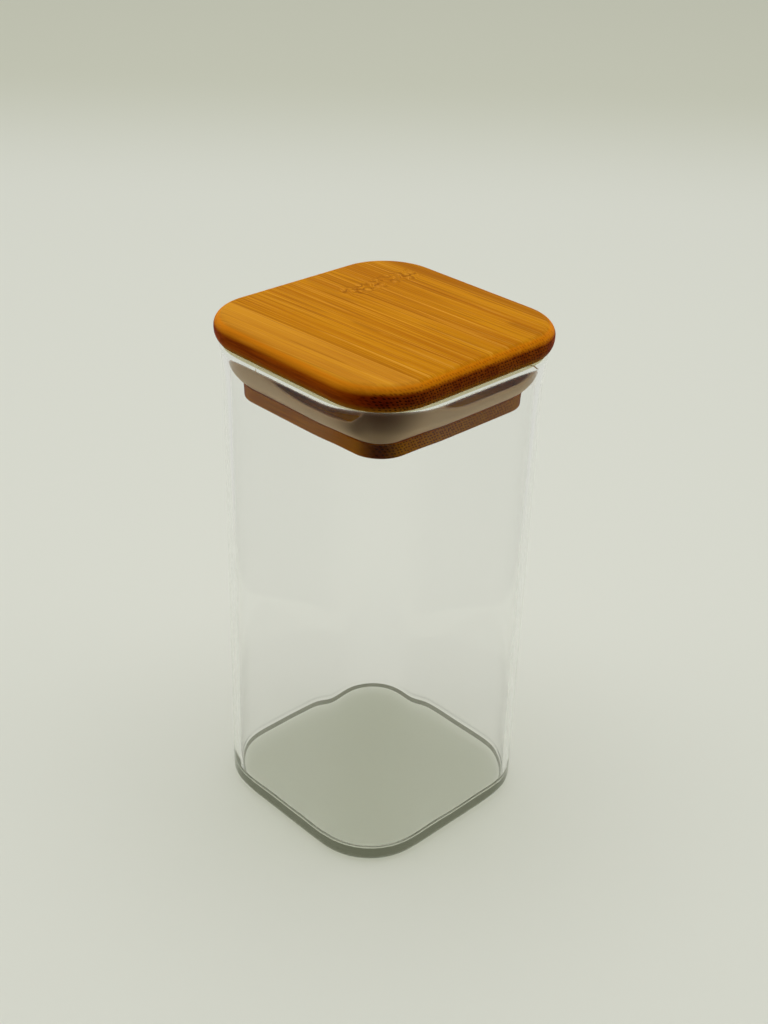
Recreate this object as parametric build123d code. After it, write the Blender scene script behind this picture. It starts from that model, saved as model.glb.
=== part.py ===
"""A square glass spice jar with rounded corners, closed by a bamboo lid with a silicone seal.

The jar stands on Z = 0 with its centre line on the Z axis. Its flat sides face X and Y, and the bamboo's
grain runs along X. All sizes are in millimetres.
"""

from build123d import *
from math import asin, cos, degrees, radians, sin
import os

# Glass jar
JAR_WIDTH = 68.4
JAR_CORNER_RADIUS = 18.8
JAR_HEIGHT = 136.7
WALL = 2.0
FLOOR_THICKNESS = 3.2
HEEL_RADIUS = 3.0
INNER_HEEL_RADIUS = 3.5
FOOT_WIDTH = 2.6
PUNT_DEPTH = 0.6
PUNT_RUN_IN = 10.0
FLARE_HEIGHT = 14.0
FLARE_OUT = 0.8
RIM_THICKNESS = 2.4
RIM_OUTER_ROUND = 1.3

# Bamboo cap, the board that covers the mouth
CAP_OVERHANG = 0.8
CAP_CORNER_RADIUS = 16.2
CAP_THICKNESS = 6.65
CAP_TOP_ROUND = 2.9
CAP_BOTTOM_ROUND = 4.8
CAP_BOTTOM_RISE = 3.3
CAP_RIM_CLEARANCE = 0.2

# Bamboo plug, the board glued under the cap, with a flange that holds the seal in its groove
PLUG_DEPTH = 15.25
PLUG_WALL_GAP = 5.4
PLUG_CORNER_RADIUS = 8.0
FLANGE_HEIGHT = 4.0
FLANGE_LOWER_BEVEL = 0.6
FLANGE_UPPER_BEVEL = 0.25
GROOVE_DEPTH = 2.3

# Bamboo strips: each board is glued up from whole strips and, at its back and front, cut ones. The share
# gives how much of what the whole strips leave lies at the back.
STRIP_WIDTH = 25.2
CAP_WHOLE_STRIPS = 2
CAP_BACK_SHARE = 0.33
PLUG_WHOLE_STRIPS = 1
PLUG_BACK_SHARE = 0.4

# Silicone seal, a ring in the groove with a lip that flares out and up to the glass
SEAL_WALL_CLEARANCE = 0.15
SEAL_RIM_DROP = 1.55
SEAL_HEEL_INSET = 0.3
SEAL_HEEL_BEVEL = 0.4
SEAL_WEB = 1.8
SEAL_SLEEVE_WIDTH = 1.1
SEAL_SLEEVE_HEIGHT = 2.8
SEAL_LIP_ROOT = 1.3
SEAL_LIP_TIP = 0.7
SEAL_LIP_DIP = 1.4

# The lip's outline from its heel to its tip, as shares of its rise and of its way out to the glass
LIP_RISE_SHARES = (0.0, 0.2, 0.5, 1.0)
LIP_OUT_SHARES = (0.0, 0.38, 0.8, 1.0)

# A round that is seen little is drawn with this many flats
ROUND_FLATS = 3

# How far the cutters run past what they cut
OVERRUN = 5.0

# The centres of the jar's and the cap's round corners, as distances from the middle in X and Y
jar_reach = JAR_WIDTH / 2 - JAR_CORNER_RADIUS
cap_reach = JAR_WIDTH / 2 + CAP_OVERHANG - CAP_CORNER_RADIUS

# The rim, a bead on the flared wall, with a larger round outside than inside
rim_inner_round = RIM_THICKNESS - RIM_OUTER_ROUND
rim_outer_level = JAR_HEIGHT - RIM_OUTER_ROUND
rim_inner_level = JAR_HEIGHT - rim_inner_round
flare_start = JAR_HEIGHT - FLARE_HEIGHT
flare_in = FLARE_OUT - (RIM_THICKNESS - WALL)

# The lid, from the cap's flat underside, which stops just above the rim
cap_bottom = JAR_HEIGHT + CAP_RIM_CLEARANCE
cap_top = cap_bottom + CAP_THICKNESS
plug_bottom = cap_bottom - PLUG_DEPTH
flange_top = plug_bottom + FLANGE_HEIGHT
seal_crown = JAR_HEIGHT - SEAL_RIM_DROP

# Half the width inside the glass and half the widths of the plug's flange and of its neck
wall_half = JAR_WIDTH / 2 - WALL
plug_half = wall_half - PLUG_WALL_GAP
neck_half = plug_half - GROOVE_DEPTH
plug_reach = plug_half - PLUG_CORNER_RADIUS
neck_radius = PLUG_CORNER_RADIUS - GROOVE_DEPTH


def carried_round(section, reach, core=None):
    """A section drawn in the XZ plane, carried round a square whose corners lie at the reach.

    X in the section is the distance outward from the corner centres. It is turned at the four corners and
    drawn straight between them. The core gives the bottom and top of the block in the middle, if it is solid.
    """
    corner = Pos(reach, reach, 0) * revolve(section, Axis.Z, revolution_arc=90)
    side = Pos(reach, reach, 0) * extrude(section, amount=2 * reach, dir=(0, -1, 0))
    quarter = corner + side
    whole = quarter
    for turn in (90, 180, 270):
        whole += Rot(0, 0, turn) * quarter
    if core:
        bottom, top = core
        middle = Box(2 * reach, 2 * reach, top - bottom)
        whole += Pos(0, 0, (bottom + top) / 2) * middle
    return whole


def section_face(*edges):
    """The closed face in the XZ plane that these edges, drawn in X and Z, enclose."""
    return Plane.XZ * make_face(Curve() + list(edges))


def flats(center, radius, start, end):
    """The points of a round drawn with flats, in the XZ plane, from one angle in degrees to the other."""
    x, z = center
    angles = [radians(start + (end - start) * step / ROUND_FLATS) for step in range(ROUND_FLATS + 1)]
    return [(x + radius * cos(angle), z + radius * sin(angle)) for angle in angles]


def rounded_square(half_width, radius, level):
    """A flat face with the outline of a square with round corners."""
    return Pos(0, 0, level) * RectangleRounded(2 * half_width, 2 * half_width, radius)


def rounded_block(half_width, radius, bottom, top):
    """An upright block with that outline."""
    return extrude(rounded_square(half_width, radius, bottom), amount=top - bottom)


def glass_jar():
    """The blown jar: one wall with a heel, a raised floor, a flared mouth and a fire-rounded rim."""
    outer = JAR_CORNER_RADIUS
    inner = outer - WALL
    rim_outer = outer + FLARE_OUT
    rim_inner = inner + flare_in
    rim_crest = rim_outer - RIM_OUTER_ROUND
    foot_outer = outer - HEEL_RADIUS
    foot_inner = foot_outer - FOOT_WIDTH
    punt_edge = foot_inner - PUNT_RUN_IN
    floor_edge = inner - INNER_HEEL_RADIUS
    floor_bend = FLOOR_THICKNESS + INNER_HEEL_RADIUS
    section = section_face(
        Line((0, PUNT_DEPTH), (punt_edge, PUNT_DEPTH)),
        Line((punt_edge, PUNT_DEPTH), (foot_inner, 0)),
        Line((foot_inner, 0), (foot_outer, 0)),
        RadiusArc((foot_outer, 0), (outer, HEEL_RADIUS), -HEEL_RADIUS),
        Line((outer, HEEL_RADIUS), (outer, flare_start)),
        TangentArc((outer, flare_start), (rim_outer, rim_outer_level), tangent=(0, 1)),
        RadiusArc((rim_outer, rim_outer_level), (rim_crest, JAR_HEIGHT), -RIM_OUTER_ROUND),
        Polyline(*flats((rim_crest, rim_inner_level), rim_inner_round, 90, 180)),
        TangentArc((inner, flare_start), (rim_inner, rim_inner_level), tangent=(0, 1)),
        Line((inner, flare_start), (inner, floor_bend)),
        Polyline(*flats((floor_edge, floor_bend), INNER_HEEL_RADIUS, 0, -90)),
        Line((floor_edge, FLOOR_THICKNESS), (0, FLOOR_THICKNESS)),
        Line((0, FLOOR_THICKNESS), (0, PUNT_DEPTH)),
    )
    return carried_round(section, jar_reach, core=(PUNT_DEPTH, FLOOR_THICKNESS))


def cap_board():
    """The cap before it is parted into strips. Its lower round stops where it meets the flat underside."""
    radius = CAP_CORNER_RADIUS
    round_level = cap_bottom + CAP_BOTTOM_RISE
    round_start = degrees(-asin(CAP_BOTTOM_RISE / CAP_BOTTOM_ROUND))
    lower_round = flats((radius - CAP_BOTTOM_ROUND, round_level), CAP_BOTTOM_ROUND, round_start, 0)
    upper_edge = radius - CAP_TOP_ROUND
    upper_level = cap_top - CAP_TOP_ROUND
    section = section_face(
        Line((0, cap_bottom), lower_round[0]),
        Polyline(*lower_round),
        Line((radius, round_level), (radius, upper_level)),
        RadiusArc((radius, upper_level), (upper_edge, cap_top), -CAP_TOP_ROUND),
        Line((upper_edge, cap_top), (0, cap_top)),
        Line((0, cap_top), (0, cap_bottom)),
    )
    return carried_round(section, cap_reach, core=(cap_bottom, cap_top))


def plug_board():
    """The plug before it is parted into strips: a flange below, and the seal's groove above it."""
    radius = PLUG_CORNER_RADIUS
    lower_edge = radius - FLANGE_LOWER_BEVEL
    lower_level = plug_bottom + FLANGE_LOWER_BEVEL
    upper_edge = radius - FLANGE_UPPER_BEVEL
    upper_level = flange_top - FLANGE_UPPER_BEVEL
    section = section_face(
        Polyline(
            (0, plug_bottom),
            (lower_edge, plug_bottom),
            (radius, lower_level),
            (radius, upper_level),
            (upper_edge, flange_top),
            (neck_radius, flange_top),
            (neck_radius, cap_bottom),
            (0, cap_bottom),
            close=True,
        )
    )
    return carried_round(section, plug_reach, core=(plug_bottom, cap_bottom))


def strips_of(board, whole_strips, back_share):
    """A board parted along X into the strips that it is glued up from, back to front."""
    box = board.bounding_box()
    rest = box.size.Y - whole_strips * STRIP_WIDTH
    widths = [back_share * rest] + [STRIP_WIDTH] * whole_strips + [(1 - back_share) * rest]
    strips = []
    back = box.max.Y
    for width in widths:
        slab = Box(box.size.X + OVERRUN, width, box.size.Z + OVERRUN)
        strips.append(board & Pos(box.center().X, back - width / 2, box.center().Z) * slab)
        back -= width
    return strips


def lip_outline(rise_share, out_share, inset=0):
    """The lip's outline at one level, on its way from the plug's outline out to the glass."""
    heel_half = plug_half - SEAL_HEEL_INSET - inset
    heel_radius = PLUG_CORNER_RADIUS - SEAL_HEEL_INSET - inset
    tip_half = wall_half + flare_in - SEAL_WALL_CLEARANCE - inset
    tip_radius = JAR_CORNER_RADIUS - WALL + flare_in - SEAL_WALL_CLEARANCE - inset
    half = heel_half + out_share * (tip_half - heel_half)
    radius = heel_radius + out_share * (tip_radius - heel_radius)
    heel_level = flange_top + SEAL_HEEL_BEVEL
    return rounded_square(half, radius, heel_level + rise_share * (seal_crown - heel_level))


def seal_ring():
    """The silicone ring in the plug's groove: a sleeve, a web, and a lip that reaches out to the glass.

    The lip stands tallest at the corners and dips along each straight side.
    """
    heel = rounded_square(
        plug_half - SEAL_HEEL_INSET - SEAL_HEEL_BEVEL,
        PLUG_CORNER_RADIUS - SEAL_HEEL_INSET - SEAL_HEEL_BEVEL,
        flange_top,
    )
    outlines = [lip_outline(rise, out) for rise, out in zip(LIP_RISE_SHARES, LIP_OUT_SHARES)]
    ring = loft([heel, *outlines], ruled=True)
    trough_bottom = lip_outline(SEAL_WEB / (seal_crown - flange_top), LIP_OUT_SHARES[1], SEAL_LIP_ROOT)
    trough_top = lip_outline(1, 1, SEAL_LIP_TIP)
    ring -= loft([trough_bottom, trough_top], ruled=True)
    sleeve_half = neck_half + SEAL_SLEEVE_WIDTH
    sleeve_radius = neck_radius + SEAL_SLEEVE_WIDTH
    ring += rounded_block(sleeve_half, sleeve_radius, flange_top, flange_top + SEAL_SLEEVE_HEIGHT)
    ring -= rounded_block(neck_half, neck_radius, plug_bottom, cap_bottom)
    dip_radius = (wall_half**2 + SEAL_LIP_DIP**2) / (2 * SEAL_LIP_DIP)
    dip_level = seal_crown - SEAL_LIP_DIP + dip_radius
    dip = Pos(0, 0, dip_level) * Rot(90, 0, 0) * Cylinder(dip_radius, JAR_WIDTH)
    return ring - dip - Rot(0, 0, 90) * dip


def write(name, solid):
    """Writes one sub-part to its own file."""
    export_step(solid, f"parts/{name}.step")


def main():
    os.makedirs("parts", exist_ok=True)
    write("glass_jar", glass_jar())
    write("seal_ring", seal_ring())
    cap_strips = strips_of(cap_board(), CAP_WHOLE_STRIPS, CAP_BACK_SHARE)
    for number, strip in enumerate(cap_strips, start=1):
        write(f"cap_strip_{number}", strip)
    plug_strips = strips_of(plug_board(), PLUG_WHOLE_STRIPS, PLUG_BACK_SHARE)
    for number, strip in enumerate(plug_strips, start=1):
        write(f"plug_strip_{number}", strip)


main()
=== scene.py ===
"""The looks of a square glass spice jar with a bamboo lid and a silicone seal, as a Blender add-on.

Everything is in metres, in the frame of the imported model: the jar stands on Z = 0 with its centre line on
the Z axis, its flat sides face X and Y, and the bamboo's grain runs along X.
"""

import math

import bmesh
import bpy
from mathutils import Matrix, Vector, noise


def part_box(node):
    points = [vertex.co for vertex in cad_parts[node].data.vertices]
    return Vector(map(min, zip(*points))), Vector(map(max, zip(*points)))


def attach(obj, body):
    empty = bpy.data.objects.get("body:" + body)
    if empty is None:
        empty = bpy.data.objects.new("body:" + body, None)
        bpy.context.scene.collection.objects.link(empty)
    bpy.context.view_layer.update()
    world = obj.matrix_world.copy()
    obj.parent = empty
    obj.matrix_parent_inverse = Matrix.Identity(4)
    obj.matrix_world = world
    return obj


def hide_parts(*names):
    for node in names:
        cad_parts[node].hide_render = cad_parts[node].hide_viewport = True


bl_info = {
    "name": "Spice Jar",
    "version": (1, 0, 0),
    "blender": (4, 5, 0),
    "location": "View3D > Sidebar > Spice Jar",
    "description": "Builds a square glass spice jar with a bamboo lid and a silicone seal",
    "category": "Add Mesh",
}

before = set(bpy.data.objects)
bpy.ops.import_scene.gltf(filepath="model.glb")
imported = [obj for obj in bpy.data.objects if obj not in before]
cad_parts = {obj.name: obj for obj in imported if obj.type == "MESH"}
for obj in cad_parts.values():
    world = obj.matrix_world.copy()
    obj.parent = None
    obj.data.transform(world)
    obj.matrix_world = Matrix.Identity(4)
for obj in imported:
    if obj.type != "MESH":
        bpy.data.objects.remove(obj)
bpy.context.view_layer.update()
JAR_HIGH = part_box("glass_jar")[1]
CAP_LOW, CAP_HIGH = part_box("cap_strip_3")
PLUG_LOW, PLUG_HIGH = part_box("plug_strip_2")
SEAL_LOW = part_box("seal_ring")[0]

# Swells of the blown glass for each metre, across and up
GLASS_SWELLS = (90, 90, 18)

# Rays deeper than this run straight on through the glass
SPENT_DEPTH = 3.5

# The outer face of the seal's lip from its heel to its tip, as shares of its rise and of its way out
LIP_SHARES = (
    (0.0, 0.0), (0.05, 0.10), (0.12, 0.24), (0.20, 0.38), (0.29, 0.52),
    (0.39, 0.66), (0.5, 0.79), (0.63, 0.89), (0.78, 0.96), (0.95, 1.0),
)

# Where the edge of the seal's lip dips along the sides that face Y and those that face X: where the dip
# starts, where it is full, where it starts to end and where it has ended, in metres from the side's middle,
# and how deep it is, as a share of the deepest
LIP_DIPS = {"y": (-0.0130, 0.010, 0.0215, 0.0250, 0.92), "x": (-0.0170, -0.0040, 0.0120, 0.0225, 0.88)}

# The darker and brighter streaks that stand out on the top of the lid: where each lies along the grain and
# across it, half its length and half its width, all in metres, and how much it darkens the wood. A streak
# that brightens the wood has a minus.
TOP_STREAKS = (
    (0.0, -0.0214, 0.04, 0.00030, 0.50),
    (0.020, 0.0032, 0.014, 0.00026, 0.45),
    (-0.026, 0.0028, 0.009, 0.00060, 0.30),
    (0.014, -0.0183, 0.022, 0.00022, -0.50),
    (0.016, -0.0192, 0.018, 0.00022, 0.35),
    (-0.010, -0.0040, 0.010, 0.00030, 0.38),
    (0.002, -0.0083, 0.006, 0.00040, 0.40),
    (-0.019, -0.0115, 0.014, 0.00030, 0.30),
    (0.028, 0.0208, 0.007, 0.00120, 0.45),
    (0.026, 0.0104, 0.010, 0.00026, 0.30),
    (0.006, -0.0276, 0.012, 0.00030, 0.35),
    (0.027, -0.0280, 0.008, 0.00026, -0.35),
)

# The figures in the grain: how long, wide and deep they are, in metres, and the detail and the roughness of
# their noise
GRAIN_FIGURES = {
    "bands": (0.11, 0.0042, 0.006, 2.0, 0.6),
    "threads": (0.045, 0.00055, 0.0007, 3.0, 0.6),
    "lines": (0.035, 0.0008, 0.0011, 2.0, 0.6),
    "hairs": (0.06, 0.00032, 0.0009, 1.0, 0.5),
}

# The fine lines on the lid's top: their figure, the levels in it at which a line starts and is full, how
# strong it is there, and the name of its colour
FINE_LINES = (
    ("lines", 0.57, 0.68, 0.42, "streak"),
    ("lines", 0.40, 0.30, 0.28, "gleam"),
    ("hairs", 0.56, 0.70, 0.45, "streak"),
    ("hairs", 0.42, 0.28, 0.40, "gleam"),
)

# How much of the bamboo's tone comes from the bands, with the rest from the threads, and the levels of both
# together at which it is darkest and palest
BAND_SHARE = 0.55
FIGURE_FADE = (0.38, 0.62)

# How many of its widths and depths each figure is moved by, from one strip to the next
STRIP_SHIFTS = (17.31, 5.17)

# The fibre bundles: how far out their dots are full and where they end, as shares of the spacing, how far
# they are scattered, from 0 for even rows, the height of a row as a share of the spacing, and how much the
# bundles rise for each metre along the grain
BUNDLE_SHARES = (0.20, 0.34)
BUNDLE_SCATTER = 0.4
BUNDLE_ROW_SHARE = 0.9
BUNDLE_LEAN = 0.012

# The knuckle of the stalk: how far beside it the swirl is full and where it ends, and how far it pushes the
# fibres aside, all in metres, how many marks lie in a metre across the grain, and what share of that many
# lie in a metre along it
KNUCKLE_REACH = (0.0012, 0.0050)
KNUCKLE_PUSH = 0.005
KNUCKLE_MARKS = 420.0
KNUCKLE_ALONG_SHARE = 0.75

# Where the knuckle has marks: the patches for each metre, and the levels in them between which marks come
# up. A mark has a dark rim and a light core, which start and end this far from its middle.
KNUCKLE_PATCHES = 330.0
PATCH_FADE = (0.42, 0.56)
RIM_START = (0.30, 0.42)
RIM_END = (0.58, 0.46)
CORE_FADE = (0.28, 0.12)

# Where the tones of a board meet, by the upright part of the way that a face looks: the crest's painted
# highlight and the top, the side and the painted floor light of the lower edge, and the side and the top,
# which starts higher over end grain. The last is by the part along the grain: the side and the end grain.
# The sides are darker than the top partly by their own finish and partly by painted shade, which deepens as
# a face turns away from the light.
CREST_HIGHLIGHT_FADE = (0.97, 0.80)
FLOOR_LIGHT_FADE = (-0.22, -0.66)
TOP_START = 0.08
TOP_START_OVER_END = 0.22
TOP_END = 0.55
END_FADE = (0.42, 0.72)

# How the surroundings change, by the cosine of the angle from the level way back or from straight up: from
# the dark front to the sides, from the table to the air, and for what the walls mirror from the sides to
# the back
FRONT_FADE = (-0.55, -0.1)
TABLE_FADE = (-0.05, 0.05)
MIRROR_FADE = (0.15, 0.6)

# The depths of the rays that the outer and the inner face of a near wall mirror
MIRRORED_DEPTHS = (2.0, 4.0)

# The power of the surroundings' level to which the backdrop is darkened where matt surfaces take its light
GLOOM = 3.0

# Height of the camera's picture, in millimetres
SENSOR_HEIGHT = 36


def length(label, description, metres):
    """A length property, written and shown in the scene's units."""
    return bpy.props.FloatProperty(
        name=label, description=description, default=metres, unit="LENGTH", precision=5
    )


def angle(label, description, degrees):
    """An angle property, given here in degrees and kept in radians."""
    return bpy.props.FloatProperty(
        name=label, description=description, default=math.radians(degrees), subtype="ANGLE", unit="ROTATION"
    )


def share(label, description, value):
    """A factor from 0 to 1."""
    return bpy.props.FloatProperty(
        name=label, description=description, default=value, min=0, max=1, subtype="FACTOR"
    )


def plain_number(label, description, value):
    """A number without a unit."""
    return bpy.props.FloatProperty(name=label, description=description, default=value)


def linear(level):
    """The light that a display level from 0 to 1 stands for."""
    if level <= 0.04045:
        return level / 12.92
    return ((level + 0.055) / 1.055) ** 2.4


def colour(label, description, red, green, blue):
    """A colour property, given here in display levels from 0 to 255 and kept linear."""
    levels = [linear(level / 255) for level in (red, green, blue)]
    return bpy.props.FloatVectorProperty(
        name=label, description=description, default=levels, size=3, min=0, max=1, subtype="COLOR"
    )


class SpiceJarGlass(bpy.types.PropertyGroup):
    """The blown glass jar."""

    wall_width: length("Width", "Width across the straight walls", 0.0684)
    corner_radius: length("Corner radius", "Outer radius of the upright corners", 0.0188)
    wall: length("Wall", "Thickness of the wall", 0.002)
    floor_thickness: length("Floor", "Level of the inner floor", 0.0032)
    heel: length("Heel", "Radius between the wall and the foot", 0.003)
    inner_heel: length("Inner heel", "Radius between the inner wall and the floor", 0.0026)
    foot: length("Foot", "Width of the ring that the jar stands on", 0.0026)
    punt: length("Punt", "Rise of the middle of the base", 0.0006)
    punt_run_in: length("Punt run-in", "Distance over which the base rises", 0.022)
    flare_height: length("Flare height", "How far down the mouth starts to flare", 0.014)
    flare: length("Flare", "How far the rim stands out from the wall", 0.0008)
    rim: length("Rim", "Thickness of the fire-rounded rim", 0.0024)
    rim_round: length("Rim round", "Radius of the rim's outer round", 0.0013)
    wave: length("Waviness", "Unevenness of the blown wall", 0.000015)
    floor_wave: length("Floor waviness", "Unevenness of the inner heel", 0.0005)
    floor_wave_height: length("Floor wave height", "How far up that unevenness reaches", 0.0039)
    easing: length("Easing", "How far the upright corners run out into the sides", 0.003)
    tint: colour("Tint", "Colour that light takes on in the glass", 254, 254, 254)
    shade: colour("Shade", "Colour of the shadow that one face of the wall casts", 249, 250, 247)
    base_shade: colour("Base shade", "Colour of the shadow that one face of the base casts", 236, 237, 232)
    roundness: share("Roundness", "Corner radius of the raised base against half its width", 0.46)
    # Painted shade: the heel's dark tint stands for the contact shadow and the dark surroundings that the
    # heel shows
    heel_shade_tint: colour("Heel tint", "Colour that light takes on in the thick glass of the heel", 94, 95, 80)
    # Painted shade and painted reflection: this tint at the top of the rim stands for the cap's shadow and
    # the wood that the rim mirrors
    rim_shade_and_reflection_tint: colour("Rim tint", "Colour that light takes on in the top of the rim", 176, 164, 116)
    # Painted shade: light that has bounced long in the base takes this dark tone in place of the dark
    # surroundings it would show
    trapped_shade: colour("Trapped light", "Colour of light that has run about in the thick base", 124, 126, 110)
    rim_glass_share: share("Rim glass", "Share of the rim's round that has the rim's tint", 0.2)
    base_glass_share: share("Base glass", "Share of the inner heel that belongs to the base", 0.3)
    # The heel's band of painted shade runs between these shares of the heel's height
    heel_start_share: share("Heel glass start", "Share of the heel's height under its tint", 0.1)
    heel_end_share: share("Heel glass end", "Share of the heel's height up to the end of its tint", 0.45)
    gloss: share("Gloss", "How strongly the glass mirrors its surroundings", 0.12)
    ior: plain_number("IOR", "Refractive index of the glass", 1.474)


class SpiceJarBamboo(bpy.types.PropertyGroup):
    """The bamboo of the cap and the plug."""

    cap_width: length("Cap width", "Width of the cap", 0.07)
    cap_corner: length("Cap corner", "Radius of the cap's upright corners", 0.0162)
    cap_top_round: length("Cap top round", "Radius of the cap's upper edge", 0.0029)
    cap_bottom_round: length("Cap bottom round", "Radius of the cap's lower edge", 0.0048)
    cap_bottom_rise: length("Cap bottom rise", "Height of the cap's lower round", 0.0033)
    plug_width: length("Plug width", "Width of the plug's flange", 0.0536)
    plug_corner: length("Plug corner", "Radius of the flange's upright corners", 0.008)
    plug_round: length("Plug round", "Radius of the flange's lower edge", 0.0006)
    flange_height: length("Flange height", "Height of the flange under the seal", 0.004)
    flange_round: length("Flange round", "Radius of the flange's upper edge", 0.00025)
    groove: length("Groove", "Depth of the seal's groove", 0.0023)
    cap_line_1: length("Cap glue line 1", "The cap's glue line at the back", 0.02853)
    cap_line_2: length("Cap glue line 2", "The cap's glue line in the middle", 0.00333)
    cap_line_3: length("Cap glue line 3", "The cap's glue line in front", -0.02187)
    plug_line_1: length("Plug glue line 1", "The plug's glue line at the back", 0.01544)
    plug_line_2: length("Plug glue line 2", "The plug's glue line in front", -0.00976)
    slope: plain_number("Grain slope", "How much the grain runs askew in the middle", 0.033)
    slope_change: plain_number("Slope change", "How much that falls for each metre to the back", 0.5)
    pale: colour("Pale fibre", "Lightest tone of the top", 208, 137, 10)
    deep: colour("Deep fibre", "Darkest tone of the top", 186, 112, 0)
    streak: colour("Streak", "Colour of the dark streaks", 150, 84, 2)
    gleam: colour("Gleam", "Colour of the bright streaks", 234, 168, 60)
    # The red-brown of the sides and of the end grain is partly their own finish and partly painted shade
    side_pale: colour("Pale side", "Lightest tone of the sides", 190, 87, 0)
    side_deep: colour("Deep side", "Darkest tone of the sides", 142, 50, 0)
    end_pale: colour("Pale end", "Lightest tone of the end grain", 174, 86, 10)
    end_deep: colour("Deep end", "Darkest tone of the end grain", 142, 56, 2)
    # Painted highlight: the lighter tone on the round at the lid's upper edge stands for the light it
    # catches
    crest: colour("Crest", "Tone of the round at the lid's upper edge", 238, 136, 6)
    # Painted shade, not a change in the grain: this darkens the cap at all four upright corners
    corner: colour("Corner", "What the grain is darkened by where a corner cuts it aslant", 244, 168, 118)
    # Painted light: the lower edge's lighter tone stands for light from the floor below
    underside_floor_light: colour("Underside", "Colour of the lower edge", 190, 120, 8)
    bundle: colour("Bundle", "Colour of the fibre bundles, dots in the end grain", 40, 6, 0)
    plug_tone: colour("Pale plug", "Lightest tone of the plug, which is less oiled", 205, 127, 8)
    plug_deep: colour("Deep plug", "Darkest tone of the plug", 182, 97, 4)
    plug_end: colour("Plug end", "Tone of the plug's end grain", 190, 123, 16)
    # Painted shade: this darkens the flange at all four upright corners
    plug_corner_shade: colour("Plug corner", "What the flange is darkened by at its corners", 170, 118, 30)
    # Partly painted light: the plug above the shelf is paler as bare wood, and brightened further to stand
    # for light that the deep groove lacks
    neck: colour("Neck", "Tone of the plug in the groove, which oil never reached", 255, 208, 84)
    knuckle: length("Knuckle", "Where along the grain the stalk had its knuckle", -0.0178)
    bundle_spacing: length("Bundle spacing", "Distance between fibre bundles", 0.00092)
    dot_share: share("Dots", "How dark the cap's bundles are in the end grain", 0.85)
    dash_share: share("Dashes", "How dark the cap's bundles are along the grain", 0.13)
    top_dot_share: share("Top dots", "How much of that is left on the top", 0.4)
    plug_dot_share: share("Plug dots", "How dark the plug's bundles are in the end grain", 0.72)
    plug_dash_share: share("Plug dashes", "How dark the plug's bundles are along the grain", 0.12)
    plug_end_share: share("Plug end strength", "How much the end grain takes of its own tone", 0.5)
    back_share: share("Dark back", "How much the strip at the back takes of the streaks' colour", 0.35)
    front_share: share("Bright front", "How much the strip in front takes of the gleam", 0.25)
    dark_mark_share: share("Dark marks", "How dark the knuckle's marks are", 0.8)
    light_mark_share: share("Light marks", "How bright the knuckle's marks are", 0.3)
    crest_highlight_share: share("Crest strength", "How much the round at the upper edge takes of its tone", 0.65)
    relief: length("Relief", "Height of the grain's relief", 0.0002)
    relief_share: share("Relief strength", "How strongly the relief shows", 0.25)
    bundle_relief_share: share("Bundle relief", "How deep bundles lie against the threads", 0.4)
    roughness: share("Roughness", "Roughness of the oiled surface", 0.5)
    shine: share("Shine", "How strongly the wood mirrors its surroundings", 0.01)


class SpiceJarSilicone(bpy.types.PropertyGroup):
    """The silicone seal."""

    heel_inset: length("Heel inset", "How far the heel stands back from the flange", 0.0003)
    heel_round: length("Heel round", "Radius of the lower edge", 0.0004)
    web: length("Web", "Thickness of the web between the sleeve and the lip", 0.0018)
    sleeve_width: length("Sleeve width", "Thickness of the sleeve in the groove", 0.0011)
    sleeve_height: length("Sleeve height", "Height of the sleeve in the groove", 0.0028)
    lip_root: length("Lip root", "Thickness of the lip where it starts", 0.0013)
    lip_tip: length("Lip tip", "Thickness of the lip at its edge", 0.0007)
    rim_drop: length("Rim drop", "How far the lip's edge lies below the rim", 0.00155)
    wall_clearance: length("Wall clearance", "Space between the lip and the glass", 0.00006)
    dip: length("Dip", "How far the lip's edge dips along each side", 0.0026)
    skin: colour("Colour", "Colour of the silicone", 250, 214, 170)
    # Painted shade: this darkens the seal at all four upright corners
    corner: colour("Corner", "What the silicone is darkened by at its corners", 160, 142, 130)
    clearness: share("Clearness", "How much of the light goes through the silicone", 0.12)
    roughness: share("Roughness", "Roughness of the silicone", 0.5)
    shine: share("Shine", "How strongly the silicone mirrors its surroundings", 0.08)


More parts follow.
